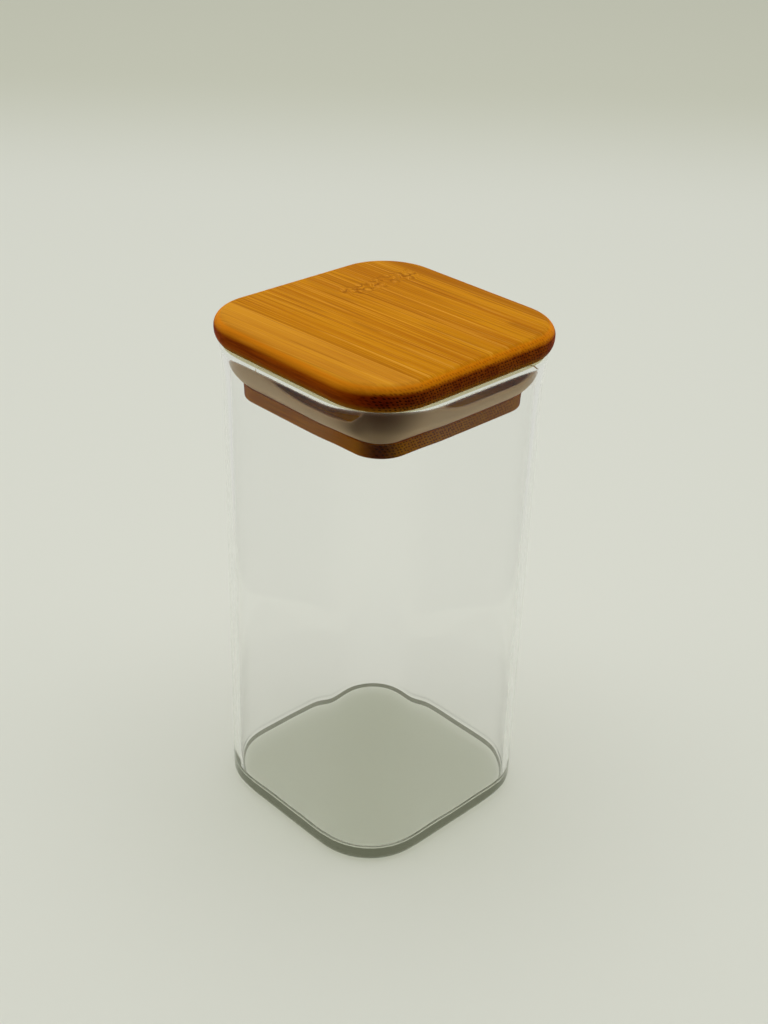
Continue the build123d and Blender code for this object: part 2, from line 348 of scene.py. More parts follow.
class SpiceJarStage(bpy.types.PropertyGroup):
    """The floor, the lights and the camera."""

    aim: bpy.props.FloatVectorProperty(
        name="Aim", description="Point that the camera turns on", default=(0, 0, 0.087489), size=3,
        subtype="TRANSLATION", unit="LENGTH",
    )
    aside: length("Aside", "How far the picture's middle lies beside the aim", 0.001374)
    distance: length("Distance", "From the camera to the aim", 0.392196)
    azimuth: angle("Azimuth", "Turn of the camera about the jar", 45.564)
    elevation: angle("Elevation", "How steeply the camera looks down", 29.601)
    roll: angle("Roll", "Tilt of the picture", 1.829)
    lens: bpy.props.FloatProperty(
        name="Lens", description="Focal length on a 36 mm high picture", default=51.393, unit="CAMERA"
    )
    sheet_front: length("Sheet front", "How far the paper reaches in front of the jar", 0.115)
    sheet_back: length("Sheet back", "How far the paper reaches behind the jar", 1.4)
    front_width: length("Front width", "Width of the paper in front", 0.23)
    back_width: length("Back width", "Width of the paper at the back", 0.9)
    floor_gap: length("Floor gap", "Space between the foot and the floor", 0.00005)
    paper: colour("Paper", "Colour of the floor", 223, 224, 216)
    paper_roughness: share("Paper roughness", "Roughness of the floor", 0.9)
    # Painted shade: the darker tone far behind the jar stands for a backdrop turning away from the light
    far_paper_shade: colour("Far paper", "Colour of the floor where it fades out behind", 207, 208, 193)
    fade_start: length("Fade start", "How far behind the jar the floor starts to fade", 0.52)
    fade_end: length("Fade end", "How far behind the jar the floor has faded", 0.88)
    world: colour("World", "Colour of the surroundings", 240, 241, 236)
    backdrop: colour("Backdrop", "Colour that shows through the glass", 214, 215, 207)
    world_strength: plain_number("World strength", "Brightness of the surroundings", 1.3)
    front_share: share("Front", "Brightness of the surroundings in front, against that all round", 0.04)
    table_share: share("Table", "Brightness of what lies below, beside the paper", 0.42)
    mirror_share: share("Mirrored front", "Brightness of the front and sides in the jar's near walls", 0.6)
    lamp_power: bpy.props.FloatProperty(
        name="Lamp power", description="Power of the lamp overhead", default=2.7, unit="POWER"
    )
    lamp_height: length("Lamp height", "Height of the lamp", 1.2)
    lamp_size: length("Lamp size", "Width of the lamp", 1.0)
    lamp_behind: length("Lamp behind", "How far behind the jar the lamp hangs", 0.03)


class Graph:
    """A material's or a world's node tree. Each input takes a number, a colour or another node's output."""

    def __init__(self, owner):
        owner.use_nodes = True
        self.owner = owner
        self.tree = owner.node_tree
        self.tree.nodes.clear()

    def add(self, kind, inputs=None, **settings):
        """A new node, with its inputs by name or number and its settings by name."""
        node = self.tree.nodes.new(kind)
        for key, value in settings.items():
            setattr(node, key, value)
        for key, value in (inputs or {}).items():
            self.put(node.inputs[key], value)
        return node

    def put(self, socket, value):
        """Link an output to a socket, or set the socket's value."""
        if isinstance(value, bpy.types.NodeSocket):
            self.tree.links.new(value, socket)
        elif value is not None:
            socket.default_value = value

    def math(self, operation, *values, clamp=False):
        """The result of a sum or a comparison."""
        inputs = dict(enumerate(values))
        return self.add("ShaderNodeMath", inputs, operation=operation, use_clamp=clamp).outputs[0]

    def step(self, value, low, high, bottom=0.0, top=1.0):
        """A smooth step from bottom to top as the value goes from low to high."""
        inputs = {"Value": value, "From Min": low, "From Max": high, "To Min": bottom, "To Max": top}
        return self.add("ShaderNodeMapRange", inputs, interpolation_type="SMOOTHSTEP").outputs[0]

    def mix(self, factor, first, second, blend="MIX"):
        """A colour from the first, at factor 0, to the second, or to both blended."""
        node = self.add("ShaderNodeMix", data_type="RGBA", blend_type=blend)
        self.put(node.inputs[0], factor)
        self.put(node.inputs[6], first)
        self.put(node.inputs[7], second)
        return node.outputs[2]

    def join(self, x, y, z):
        """A vector from its three parts."""
        return self.add("ShaderNodeCombineXYZ", {0: x, 1: y, 2: z}).outputs[0]

    def split(self, vector):
        """The three parts of a vector."""
        return self.add("ShaderNodeSeparateXYZ", {0: vector}).outputs[:]

    def noise(self, place, scale=1.0, detail=2.0, roughness=0.5):
        """Soft noise at a place, from 0 to 1."""
        inputs = {"Vector": place, "Scale": scale, "Detail": detail, "Roughness": roughness}
        return self.add("ShaderNodeTexNoise", inputs).outputs["Fac"]

    def finish(self, surface, kind="ShaderNodeOutputMaterial"):
        """The material or world, with this as its surface."""
        self.add(kind, {"Surface": surface})
        return self.owner


def opaque(rgb):
    """A colour property as the four numbers that a socket takes."""
    return (*rgb, 1.0)


def arc(centre, radius, start, end, steps):
    """Points on an arc in the section, by angles in degrees."""
    points = []
    for step in range(steps + 1):
        turn = math.radians(start + (end - start) * step / steps)
        points.append((centre[0] + radius * math.cos(turn), centre[1] + radius * math.sin(turn)))
    return points


def outline(half, radius, level, corner_steps=16, side_steps=12):
    """The points of a square with round corners, at one level."""
    reach = half - radius
    corners = ((reach, reach), (-reach, reach), (-reach, -reach), (reach, -reach))
    ring = []
    for corner, (x, y) in enumerate(corners):
        for step in range(corner_steps + 1):
            turn = math.radians(90 * (corner + step / corner_steps))
            ring.append(Vector((x + radius * math.cos(turn), y + radius * math.sin(turn), level)))
        start = ring[-1]
        turn = math.radians(90 * (corner + 1))
        next_x, next_y = corners[(corner + 1) % 4]
        end = Vector((next_x + radius * math.cos(turn), next_y + radius * math.sin(turn), level))
        for step in range(1, side_steps):
            ring.append(start.lerp(end, step / side_steps))
    return ring


def eased_outline(half, radius, level, easing, corner_steps=24, side_steps=20):
    """An outline whose corners run out softly into its sides, as blown glass does. The corners start
    tighter, so that they end as far out as they would have been.
    """
    corner_out = math.sqrt(2) - 1
    tighter = easing**2 / (2 * radius * corner_out)
    ring = outline(half, radius - tighter, level, corner_steps, side_steps)
    spacing = sum((point - ring[place - 1]).length for place, point in enumerate(ring)) / len(ring)
    for _ in range(round(2 * (easing / spacing) ** 2)):
        after = [*ring[1:], ring[0]]
        before = [ring[-1], *ring[:-1]]
        ring = [point * 0.5 + (left + right) * 0.25 for point, left, right in zip(ring, before, after)]
    return ring


def finished(name, work, materials, crease=35):
    """A closed mesh with its normals outward, smooth up to the crease angle, as an object of the scene."""
    bmesh.ops.recalc_face_normals(work, faces=work.faces)
    mesh = bpy.data.meshes.new(name)
    for face in work.faces:
        face.smooth = True
    work.to_mesh(mesh)
    work.free()
    mesh.set_sharp_from_angle(angle=math.radians(crease))
    for material in materials:
        mesh.materials.append(material)
    piece = bpy.data.objects.new(name, mesh)
    bpy.context.scene.collection.objects.link(piece)
    return piece


def skinned(rings, closed=False):
    """A mesh with quads between rings of points. It is capped at both ends, or else its last ring joins on
    to its first.
    """
    work = bmesh.new()
    loops = [[work.verts.new(point) for point in ring] for ring in rings]
    count = len(rings[0])
    pairs = list(zip(loops, loops[1:]))
    if closed:
        pairs.append((loops[-1], loops[0]))
    for lower, upper in pairs:
        for step in range(count):
            beside = (step + 1) % count
            work.faces.new((lower[step], lower[beside], upper[beside], upper[step]))
    if not closed:
        work.faces.new(loops[0])
        work.faces.new(loops[-1])
    return work


def glass_material(name, look, tint, shade, spent_shade):
    """Clear glass. Shadows and the light of matt surfaces come straight through it, a little shaded by
    each face, and so does light that has bounced about in the glass for long, in a tone of its own, which
    in the base and the heel is a painted shade.
    """
    graph = Graph(bpy.data.materials.new(name))
    glass = graph.add(
        "ShaderNodeBsdfPrincipled",
        {
            "Base Color": opaque(tint),
            "Roughness": 0.0,
            "IOR": look.ior,
            "Transmission Weight": 1.0,
            "Specular Tint": (look.gloss, look.gloss, look.gloss, 1.0),
        },
    )
    path = graph.add("ShaderNodeLightPath").outputs
    spent = graph.math("GREATER_THAN", path["Ray Depth"], SPENT_DEPTH)
    soft = graph.math("MAXIMUM", path["Is Shadow Ray"], path["Is Diffuse Ray"])
    # Long-bounced rays take the spent shade, which is painted shade in the base and the heel
    tone = graph.mix(soft, opaque(spent_shade), opaque(shade))
    clear = graph.add("ShaderNodeBsdfTransparent", {"Color": tone})
    passes = graph.math("MAXIMUM", soft, spent)
    mixed = graph.add("ShaderNodeMixShader", {0: passes, 1: glass.outputs[0], 2: clear.outputs[0]})
    return graph.finish(mixed.outputs[0])


def inner_flare(glass):
    """How far the inner face of the mouth stands out from the inner wall."""
    return glass.flare - (glass.rim - glass.wall)


def glass_profile(look, height):
    """The jar's section from the middle of the base, up the outside, over the rim and down to the floor."""
    outer = look.corner_radius
    inner = outer - look.wall
    inner_round = look.rim - look.rim_round
    crest = outer + look.flare - look.rim_round
    flare_start = height - look.flare_height
    foot_outer = outer - look.heel
    foot_inner = foot_outer - look.foot
    floor_bend = look.floor_thickness + look.inner_heel

    def flare(start, out, top, steps):
        """A face of the mouth, which bends this far out on its way to the top."""
        rise = top - flare_start
        bend = (rise**2 + out**2) / (2 * out)
        levels = [rise * step / steps for step in range(steps + 1)]
        return [(start + bend - math.sqrt(bend**2 - level**2), flare_start + level) for level in levels]

    def wall(offset, low, high, steps):
        """Levels on an upright face, without the two at its ends."""
        return [(offset, low + (high - low) * step / steps) for step in range(1, steps)]

    profile = []
    steps = 8
    for step in range(steps + 1):
        part = (1 + math.cos(math.pi * step / steps)) / 2
        profile.append((foot_inner - look.punt_run_in * part, look.punt * part))
    profile += arc((foot_outer, look.heel), look.heel, -90, 0, steps=12)
    profile += wall(outer, look.heel, flare_start, steps=24)
    profile += flare(outer, look.flare, height - look.rim_round, steps=14)
    profile += arc((crest, height - look.rim_round), look.rim_round, 0, 90, steps=10)[1:]
    profile += arc((crest, height - inner_round), inner_round, 90, 180, steps=8)[1:]
    profile += flare(inner, inner_flare(look), height - inner_round, steps=14)[-2::-1]
    profile += wall(inner, flare_start, floor_bend, steps=24)
    profile += arc((inner - look.inner_heel, floor_bend), look.inner_heel, 0, -90, steps=14)
    return profile


class SPICEJAR_OT_glass(bpy.types.Operator):
    """Build the blown glass jar"""

    bl_idname = "spicejar.glass"
    bl_label = "Glass Jar"

    def execute(self, context):
        look = context.scene.spicejar_glass
        half = look.wall_width / 2
        rings = []
        for offset, level in glass_profile(look, JAR_HIGH.z):
            reach = half - look.corner_radius + offset
            rings.append(eased_outline(reach, max(offset, reach * look.roundness), level, look.easing))
        body = skinned(rings)
        self.make_uneven(body, look)
        for face in body.faces:
            face.material_index = self.zone(face.calc_center_median(), look)
        materials = (
            glass_material("jar_glass", look, look.tint, look.shade, look.shade),
            # In the base, light that has bounced long takes a painted shade
            glass_material("jar_base_glass", look, look.tint, look.base_shade, look.trapped_shade),
            # The heel's tint is painted shade
            glass_material("jar_heel_shade_glass", look, look.heel_shade_tint, look.base_shade, look.trapped_shade),
            # The rim's tint is painted shade and painted reflection
            glass_material("jar_rim_shade_glass", look, look.rim_shade_and_reflection_tint, look.shade, look.shade),
        )
        piece = finished("glass_body", body, materials, crease=50)
        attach(piece, "jar")
        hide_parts("glass_jar")
        return {"FINISHED"}

    def offset_at(self, place, look):
        """How far out a place lies, counted from the middle of the nearest corner's round."""
        middle = look.wall_width / 2 - look.corner_radius
        return math.hypot(max(abs(place.x) - middle, 0.0), max(abs(place.y) - middle, 0.0))

    def zone(self, place, look):
        """The material of a face: 0 for the wall, 1 for the base, 2 for the heel's band of painted shade
        and 3 for the top of the rim, with its painted shade and painted reflection.
        """
        if place.z > JAR_HIGH.z - look.rim_round * look.rim_glass_share:
            return 3
        if place.z > look.floor_thickness + look.inner_heel * look.base_glass_share:
            return 0
        foot = look.corner_radius - look.heel
        level = place.z / look.heel
        if look.heel_start_share < level < look.heel_end_share and self.offset_at(place, look) > foot:
            return 2
        return 1

    def make_uneven(self, body, look):
        """The inner wall and the inner heel wave a little, as blown glass does."""
        inside = look.corner_radius - look.wall / 2
        for vert in body.verts:
            place = vert.co
            outside = self.offset_at(place, look) > inside
            if outside or place.z < look.floor_thickness or place.z > JAR_HIGH.z - look.flare_height:
                continue
            low = math.exp(-((place.z - look.floor_thickness) / look.floor_wave_height) ** 2)
            swell = noise.noise(place * Vector(GLASS_SWELLS))
            inward = Vector((-place.x, -place.y, 0)).normalized()
            vert.co = place + inward * swell * (look.wave + look.floor_wave * low)


class Grain:
    """The grain of a board glued up from bamboo strips, whose fibres run along X, in a material's nodes."""

    def __init__(self, graph, look, glue_lines, knuckle):
        self.graph = graph
        self.look = look
        coordinates = graph.add("ShaderNodeTexCoord").outputs
        self.x, y, self.z = graph.split(coordinates["Object"])
        self.normal = graph.split(coordinates["Normal"])
        slope = graph.math("MULTIPLY_ADD", y, -look.slope_change, look.slope)
        self.across = graph.math("SUBTRACT", y, graph.math("MULTIPLY", self.x, slope))
        self.strip = 0.0
        for line in glue_lines:
            self.strip = graph.math("ADD", self.strip, graph.math("LESS_THAN", self.across, line))
        self.place = self.across
        self.near = 0.0
        if knuckle:
            self.bend_round(knuckle)

    def bend_round(self, knuckle):
        """The fibres of the second strip swirl where the stalk had its knuckle."""
        graph = self.graph
        beside = graph.math("ABSOLUTE", graph.math("SUBTRACT", self.x, knuckle))
        near = graph.step(beside, *KNUCKLE_REACH, 1.0, 0.0)
        self.near = graph.math("MULTIPLY", near, self.on_strip(1))
        stir = graph.noise(graph.join(self.x, self.across, self.z), KNUCKLE_MARKS)
        push = graph.math("MULTIPLY", graph.math("SUBTRACT", stir, 0.5), KNUCKLE_PUSH)
        self.place = graph.math("ADD", self.across, graph.math("MULTIPLY", push, self.near))

    def on_strip(self, count):
        """1 on one of the strips, counted from 0 at the back, and 0 on the others."""
        return self.graph.math("COMPARE", self.strip, float(count), 0.5)

    def fibre(self, reach, width, depth, lean=0.0):
        """A place in the grain, counted in lengths, widths and depths of a figure. The lean is how much the
        fibres rise for each metre along them.
        """
        graph = self.graph
        aside, deeper = (graph.math("MULTIPLY", self.strip, shift) for shift in STRIP_SHIFTS)
        along = graph.math("DIVIDE", self.x, reach)
        side = graph.math("MULTIPLY_ADD", self.place, 1 / width, aside)
        level = graph.math("MULTIPLY_ADD", self.x, lean, self.z)
        rise = graph.math("MULTIPLY_ADD", level, 1 / depth, deeper)
        return graph.join(along, side, rise)

    def figure(self, name):
        """One of the grain's figures, as noise."""
        reach, width, depth, detail, roughness = GRAIN_FIGURES[name]
        return self.graph.noise(self.fibre(reach, width, depth), 1.0, detail, roughness)

    def fade(self, threads):
        """Broad soft bands with fine threads in them, from 0 where the bamboo is darkest to 1."""
        graph = self.graph
        rest = graph.math("MULTIPLY", threads, 1 - BAND_SHARE)
        both = graph.math("MULTIPLY_ADD", self.figure("bands"), BAND_SHARE, rest)
        return graph.step(both, *FIGURE_FADE)

    def bundles(self):
        """The fibre bundles, close together and nearly even: dots in the end grain, lines along it. Every
        row lies half a bundle aside from the one under it.
        """
        graph = self.graph
        spacing = self.look.bundle_spacing
        _, side, rise = graph.split(self.fibre(1.0, spacing, spacing * BUNDLE_ROW_SHARE, BUNDLE_LEAN))
        side = graph.math("MULTIPLY_ADD", rise, 0.5, side)
        cells = graph.add(
            "ShaderNodeTexVoronoi",
            {"Vector": graph.join(side, rise, 0.0), "Scale": 1.0, "Randomness": BUNDLE_SCATTER},
            voronoi_dimensions="2D",
        )
        return graph.step(cells.outputs["Distance"], *BUNDLE_SHARES, 1.0, 0.0)

    def knuckle_marks(self):
        """The dark and the light marks in the knuckle's swirl."""
        graph = self.graph
        place = graph.join(graph.math("MULTIPLY", self.x, KNUCKLE_ALONG_SHARE), self.across, 0.0)
        inputs = {"Vector": place, "Scale": KNUCKLE_MARKS}
        cells = graph.add("ShaderNodeTexVoronoi", inputs, voronoi_dimensions="2D")
        distance = cells.outputs["Distance"]
        present = graph.step(graph.noise(place, KNUCKLE_PATCHES, 1.0), *PATCH_FADE)
        present = graph.math("MULTIPLY", present, self.near)
        rim = graph.math("MULTIPLY", graph.step(distance, *RIM_START), graph.step(distance, *RIM_END))
        core = graph.step(distance, *CORE_FADE)
        return graph.math("MULTIPLY", rim, present), graph.math("MULTIPLY", core, present)

    def end(self):
        """From 0 on a side along the grain to 1 on one across it."""
        return self.graph.step(self.graph.math("ABSOLUTE", self.normal[0]), *END_FADE)


def streaked(grain, tone, look):
    """A tone with the streaks that stand out on the lid's top."""
    graph = grain.graph
    for middle, offset, half_length, half_width, depth in TOP_STREAKS:
        far = graph.math("ABSOLUTE", graph.math("SUBTRACT", grain.x, middle))
        reach = graph.step(far, half_length * 0.5, half_length, abs(depth), 0.0)
        far = graph.math("ABSOLUTE", graph.math("SUBTRACT", grain.across, offset))
        part = graph.math("MULTIPLY", reach, graph.step(far, 0.0, half_width * 2, 1.0, 0.0))
        tone = graph.mix(part, tone, opaque(look.streak if depth > 0 else look.gleam))
    return tone


def finely_lined(grain, tone, look):
    """A tone with the fine dark and bright lines that run all along the lid's top."""
    graph = grain.graph
    figures = {name: grain.figure(name) for name in ("lines", "hairs")}
    for name, start, full, strength, line_colour in FINE_LINES:
        part = graph.step(figures[name], start, full, 0.0, strength)
        tone = graph.mix(part, tone, opaque(getattr(look, line_colour)))
    return tone


def dotted(graph, end, along_share, end_share):
    """How dark the fibre bundles are, from a side along the grain to the end grain."""
    return graph.math("MULTIPLY_ADD", end, end_share - along_share, along_share)


def aslant(graph, normal):
    """From 0 on a flat side to 1 in the middle of an upright corner, where the painted corner shade is
    full.
    """
    along, across, _ = normal
    product = graph.math("MULTIPLY", along, across)
    return graph.math("MULTIPLY", graph.math("MULTIPLY", product, product), 4.0, clamp=True)


def wood_surface(graph, look, tone, height):
    """Satin wood of this tone, with a slight relief."""
    inputs = {"Strength": look.relief_share, "Distance": look.relief, "Height": height}
    bump = graph.add("ShaderNodeBump", inputs)
    surface = graph.add(
        "ShaderNodeBsdfPrincipled",
        {
            "Base Color": tone,
            "Roughness": look.roughness,
            "Specular IOR Level": look.shine,
            "Normal": bump.outputs[0],
        },
    )
    return graph.finish(surface.outputs[0])


def cap_material(look):
    """The cap's oiled bamboo: golden on top, red-brown at the sides and full of dots at the ends. The
    sides' red-brown is partly their finish and partly painted shade; the upper round has a painted
    highlight, the lower edge painted floor light and the upright corners painted shade.
    """
    graph = Graph(bpy.data.materials.new("cap_bamboo"))
    grain = Grain(graph, look, (look.cap_line_1, look.cap_line_2, look.cap_line_3), look.knuckle)
    threads = grain.figure("threads")
    fade = grain.fade(threads)
    bundles = grain.bundles()
    end = grain.end()
    level = grain.normal[2]
    top = graph.mix(fade, opaque(look.deep), opaque(look.pale))
    top = finely_lined(grain, top, look)
    top = graph.mix(graph.math("MULTIPLY", grain.on_strip(0), look.back_share), top, opaque(look.streak))
    top = graph.mix(graph.math("MULTIPLY", grain.on_strip(3), look.front_share), top, opaque(look.gleam))
    top = streaked(grain, top, look)
    dark, light = grain.knuckle_marks()
    top = graph.mix(graph.math("MULTIPLY", dark, look.dark_mark_share), top, opaque(look.streak))
    top = graph.mix(graph.math("MULTIPLY", light, look.light_mark_share), top, opaque(look.gleam))
    # Painted highlight on the upper round
    top = graph.mix(graph.step(level, *CREST_HIGHLIGHT_FADE, 0.0, look.crest_highlight_share), top, opaque(look.crest))
    side = graph.mix(fade, opaque(look.side_deep), opaque(look.side_pale))
    side = graph.mix(end, side, graph.mix(fade, opaque(look.end_deep), opaque(look.end_pale)))
    # Painted shade at the upright corners
    side = graph.mix(aslant(graph, grain.normal), side, opaque(look.corner), "MULTIPLY")
    # Painted floor light on the lower edge
    side = graph.mix(graph.step(level, *FLOOR_LIGHT_FADE), side, opaque(look.underside_floor_light))
    # Partly painted shade: the top's tone gives way to the sides' as a face turns from the light
    top_start = graph.math("MULTIPLY_ADD", end, TOP_START_OVER_END - TOP_START, TOP_START)
    upward = graph.step(level, top_start, TOP_END)
    tone = graph.mix(upward, side, top)
    strength = dotted(graph, end, look.dash_share, look.dot_share)
    left = graph.math("MULTIPLY_ADD", upward, look.top_dot_share - 1, 1.0)
    strength = graph.math("MULTIPLY", bundles, graph.math("MULTIPLY", strength, left))
    tone = graph.mix(strength, tone, graph.mix(upward, opaque(look.bundle), opaque(look.side_deep)))
    sunk = graph.math("MULTIPLY", bundles, look.bundle_relief_share)
    return wood_surface(graph, look, tone, graph.math("SUBTRACT", threads, sunk))


def plug_material(look):
    """The plug's bare bamboo, with painted shade at the flange's upright corners and painted light on the
    neck in the shadowed groove.
    """
    graph = Graph(bpy.data.materials.new("plug_bamboo"))
    grain = Grain(graph, look, (look.plug_line_1, look.plug_line_2), None)
    threads = grain.figure("threads")
    end = grain.end()
    tone = graph.mix(grain.fade(threads), opaque(look.plug_deep), opaque(look.plug_tone))
    tone = graph.mix(graph.math("MULTIPLY", end, look.plug_end_share), tone, opaque(look.plug_end))
    strength = dotted(graph, end, look.plug_dash_share, look.plug_dot_share)
    tone = graph.mix(graph.math("MULTIPLY", grain.bundles(), strength), tone, opaque(look.bundle))
    # Painted shade at the flange's upright corners
    tone = graph.mix(aslant(graph, grain.normal), tone, opaque(look.plug_corner_shade), "MULTIPLY")
    shelf = PLUG_LOW.z + look.flange_height
    # Painted light on the neck, above its paler bare wood
    tone = graph.mix(graph.math("GREATER_THAN", grain.z, shelf), tone, opaque(look.neck))
    return wood_surface(graph, look, tone, threads)


def board_strips(rings, look, glue_lines, names, material):
    """A board parted along its glue lines, which run as askew as the grain does."""
    edges = [None, *glue_lines, None]
    pieces = []
    for name, back, front in zip(names, edges, edges[1:]):
        work = skinned(rings)
        for line, outward in ((back, 1), (front, -1)):
            if line is None:
                continue
            slope = look.slope - look.slope_change * line
            across = Vector((-slope, 1, 0)).normalized() * outward
            everything = [*work.verts, *work.edges, *work.faces]
            cut = bmesh.ops.bisect_plane(
                work, geom=everything, plane_co=(0, line, 0), plane_no=across, clear_outer=True
            )
            rim = [part for part in cut["geom_cut"] if isinstance(part, bmesh.types.BMEdge)]
            bmesh.ops.contextual_create(work, geom=rim)
        piece = finished(name, work, [material])
        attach(piece, "lid")
        pieces.append(piece)
    return pieces


class SPICEJAR_OT_cap(bpy.types.Operator):
    """Build the strips of the bamboo cap"""

    bl_idname = "spicejar.cap"
    bl_label = "Bamboo Cap"

    def execute(self, context):
        look = context.scene.spicejar_bamboo
        half = look.cap_width / 2
        radius = look.cap_corner
        low = CAP_LOW.z
        high = CAP_HIGH.z
        start = -math.degrees(math.asin(look.cap_bottom_rise / look.cap_bottom_round))
        bend = (radius - look.cap_bottom_round, low + look.cap_bottom_rise)
        section = arc(bend, look.cap_bottom_round, start, 0, steps=10)
        bend = (radius - look.cap_top_round, high - look.cap_top_round)
        section += arc(bend, look.cap_top_round, 0, 90, steps=12)
        rings = []
        for offset, level in section:
            rings.append(outline(half - radius + offset, offset, level, corner_steps=20, side_steps=8))
        lines = (look.cap_line_1, look.cap_line_2, look.cap_line_3)
        material = cap_material(look)
        names = [f"cap_board_{number}" for number in (1, 2, 3, 4)]
        for number, piece in enumerate(board_strips(rings, look, lines, names, material), start=1):
            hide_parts(f"cap_strip_{number}")
        return {"FINISHED"}


class SPICEJAR_OT_plug(bpy.types.Operator):
    """Build the strips of the bamboo plug"""

    bl_idname = "spicejar.plug"
    bl_label = "Bamboo Plug"

    def execute(self, context):
        look = context.scene.spicejar_bamboo
        half = look.plug_width / 2
        radius = look.plug_corner
        low = PLUG_LOW.z
        high = PLUG_HIGH.z
        neck = radius - look.groove
        shelf = low + look.flange_height
        bend = (radius - look.plug_round, low + look.plug_round)
        section = arc(bend, look.plug_round, -90, 0, steps=5)
        bend = (radius - look.flange_round, shelf - look.flange_round)
        section += arc(bend, look.flange_round, 0, 90, steps=3)
        section += [(neck, shelf), (neck, high)]
        rings = []
        for offset, level in section:
            rings.append(outline(half - radius + offset, offset, level, corner_steps=14, side_steps=6))
        lines = (look.plug_line_1, look.plug_line_2)
        material = plug_material(look)
        names = [f"plug_board_{number}" for number in (1, 2, 3)]
        for number, piece in enumerate(board_strips(rings, look, lines, names, material), start=1):
            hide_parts(f"plug_strip_{number}")
        return {"FINISHED"}


def silicone_material(look):
    """Milky silicone that lets some light through, with painted shade at its upright corners."""
    graph = Graph(bpy.data.materials.new("seal_silicone"))
    normal = graph.split(graph.add("ShaderNodeTexCoord").outputs["Normal"])
    # Painted shade at the upright corners
    skin = graph.mix(aslant(graph, normal), opaque(look.skin), opaque(look.corner), "MULTIPLY")
    surface = graph.add(
        "ShaderNodeBsdfPrincipled",
        {"Base Color": skin, "Roughness": look.roughness, "Specular IOR Level": look.shine},
    )
    through = graph.add("ShaderNodeBsdfTranslucent", {"Color": skin})
    inputs = {0: look.clearness, 1: surface.outputs[0], 2: through.outputs[0]}
    mixed = graph.add("ShaderNodeMixShader", inputs)
    return graph.finish(mixed.outputs[0])


class SPICEJAR_OT_seal(bpy.types.Operator):
    """Build the silicone seal with its lip"""

    bl_idname = "spicejar.seal"
    bl_label = "Silicone Seal"

    def execute(self, context):
        look = context.scene.spicejar_silicone
        glass = context.scene.spicejar_glass
        bamboo = context.scene.spicejar_bamboo
        flange_half = bamboo.plug_width / 2
        neck_half = flange_half - bamboo.groove
        neck_radius = bamboo.plug_corner - bamboo.groove
        base = SEAL_LOW.z
        crown = JAR_HIGH.z - look.rim_drop
        heel = (flange_half - look.heel_inset, bamboo.plug_corner - look.heel_inset)
        outward = inner_flare(glass) - glass.wall - look.wall_clearance
        tip = (glass.wall_width / 2 + outward, glass.corner_radius + outward)

        def lip(rise, out, inset):
            """A ring of the lip, this share of the way up and out, and this far in from its outer face."""
            half = heel[0] + (tip[0] - heel[0]) * out - inset
            radius = heel[1] + (tip[1] - heel[1]) * out - inset
            ring = eased_outline(half, radius, 0.0, glass.easing)
            for point in ring:
                top = crown - look.dip * self.dip_at(point)
                point.z = base + look.heel_round + (top - base - look.heel_round) * rise
            return ring

        def level_ring(half, radius, level):
            """A ring with as many points as those of the lip."""
            return outline(half, radius, level, corner_steps=24, side_steps=20)

        rings = [
            level_ring(neck_half, neck_radius, base),
            level_ring(heel[0] - look.heel_round, heel[1] - look.heel_round, base),
        ]
        for rise, out in LIP_SHARES:
            rings.append(lip(rise, out, 0.0))
        swing = look.lip_tip / 2
        for turn in (30, 60, 90, 120, 150):
            short = swing * (1 - math.sin(math.radians(turn))) / (crown - base)
            rings.append(lip(1 - short, 1.0, swing * (1 - math.cos(math.radians(turn)))))
        for rise, out in reversed(LIP_SHARES[1:]):
            thickness = look.lip_root + (look.lip_tip - look.lip_root) * rise
            rings.append(lip(max(rise, look.web / (crown - base)), out, thickness))
        sleeve = (neck_half + look.sleeve_width, neck_radius + look.sleeve_width)
        rings.append(level_ring(*sleeve, base + look.web))
        rings.append(level_ring(*sleeve, base + look.sleeve_height))
        rings.append(level_ring(neck_half, neck_radius, base + look.sleeve_height))
        piece = finished("seal", skinned(rings, closed=True), [silicone_material(look)], crease=60)
        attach(piece, "lid")
        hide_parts("seal_ring")
        return {"FINISHED"}

    def dip_at(self, point):
        """How deep the lip's edge dips here, from 0 to 1."""
        if abs(point.x) > abs(point.y):
            along = point.y * (1 if point.x > 0 else -1)
            start, full, ending, end, depth = LIP_DIPS["x"]
        else:
            along = point.x * (-1 if point.y > 0 else 1)
            start, full, ending, end, depth = LIP_DIPS["y"]
        part = max(0.0, min(1.0, (along - start) / (full - start), (end - along) / (end - ending)))
        return depth * part**2 * (3 - 2 * part)


def backwards(stage):
    """The level direction from the front of the stage to its back."""
    return Vector((-math.sin(stage.azimuth), math.cos(stage.azimuth), 0))


def behind(graph, place, stage):
    """How far a place lies behind the jar."""
    inputs = {0: place, 1: backwards(stage)}
    return graph.add("ShaderNodeVectorMath", inputs, operation="DOT_PRODUCT").outputs["Value"]


def paper_material(stage):
    """Pale paper with painted shade that darkens it a little towards the back, in place of a backdrop
    turning away from the light.
    """
    graph = Graph(bpy.data.materials.new("stage_paper"))
    place = graph.add("ShaderNodeTexCoord").outputs["Object"]
    fade = graph.step(behind(graph, place, stage), stage.fade_start, stage.fade_end)
    tone = graph.mix(fade, opaque(stage.paper), opaque(stage.far_paper_shade))
    inputs = {"Base Color": tone, "Roughness": stage.paper_roughness}
    surface = graph.add("ShaderNodeBsdfPrincipled", inputs)
    return graph.finish(surface.outputs[0])


